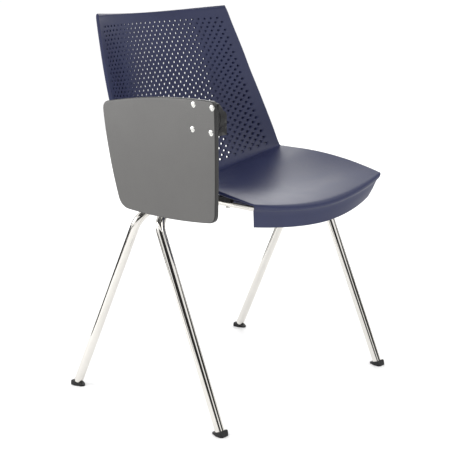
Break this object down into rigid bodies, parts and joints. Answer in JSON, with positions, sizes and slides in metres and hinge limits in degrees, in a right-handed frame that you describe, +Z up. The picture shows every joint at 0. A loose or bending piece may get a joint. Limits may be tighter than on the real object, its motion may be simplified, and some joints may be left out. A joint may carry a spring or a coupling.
{
  "type": "student desk chair",
  "caption": "Moulded shell chair on a splayed chrome tube frame, with a folding writing tablet on a flip hinge and swivel at the sitter's right.",
  "frame": {"origin": "on the floor, in the middle of the chair's bounding box", "axes": "+Z up, the chair faces -Y, the sitter's right hand is at -X"},
  "size_m": [0.5906, 0.5304, 0.8229],
  "materials": {
    "shell": "satin moulded polypropylene, fine grain",
    "chrome_tube": "bright chrome plate on steel tube",
    "black_plastic": "satin moulded nylon",
    "black_metal": "satin black powder coat",
    "bright_steel": "bright zinc-plated steel",
    "tablet_laminate": "fine satin grey compact laminate"
  },
  "bodies": {
    "frame": {"shell": "shell", "front_leg_frame": "chrome_tube", "rear_leg_frame": "chrome_tube", "seat_rail_right": "chrome_tube", "seat_rail_left": "chrome_tube", "gusset_right": "chrome_tube", "gusset_left": "chrome_tube", "rail_end_plugs": "black_plastic", "glide_front_right": "black_plastic", "glide_front_left": "black_plastic", "glide_rear_right": "black_plastic", "glide_rear_left": "black_plastic", "shell_spacers": "black_plastic", "shell_screws": "bright_steel", "arm_socket": "chrome_tube", "arm_socket_plug": "black_plastic", "support_arm": "black_metal", "arm_grub_screws": "bright_steel", "arm_head": "black_metal", "flip_pin": "black_metal", "flip_pin_clip": "black_metal"},
    "hinge_carrier": {"swivel_housing": "black_metal", "swivel_spindle": "bright_steel", "swivel_stop_pin": "bright_steel", "swivel_washer": "black_plastic", "spindle_nut": "bright_steel"},
    "tablet": {"swivel_plate": "black_metal", "tablet_board": "tablet_laminate", "tablet_screws": "bright_steel"}
  },
  "joints": [
    {"name": "tablet_flip", "type": "hinge", "parent": "frame", "child": "hinge_carrier", "pos_m": [-0.252, -0.186, 0.647], "axis": [0, 1, 0], "range_deg": [0, 90]},
    {"name": "tablet_swivel", "type": "hinge", "parent": "hinge_carrier", "child": "tablet", "pos_m": [-0.285, -0.186, 0.647], "axis": [1, 0, 0], "range_deg": [0, 180]}
  ]
}
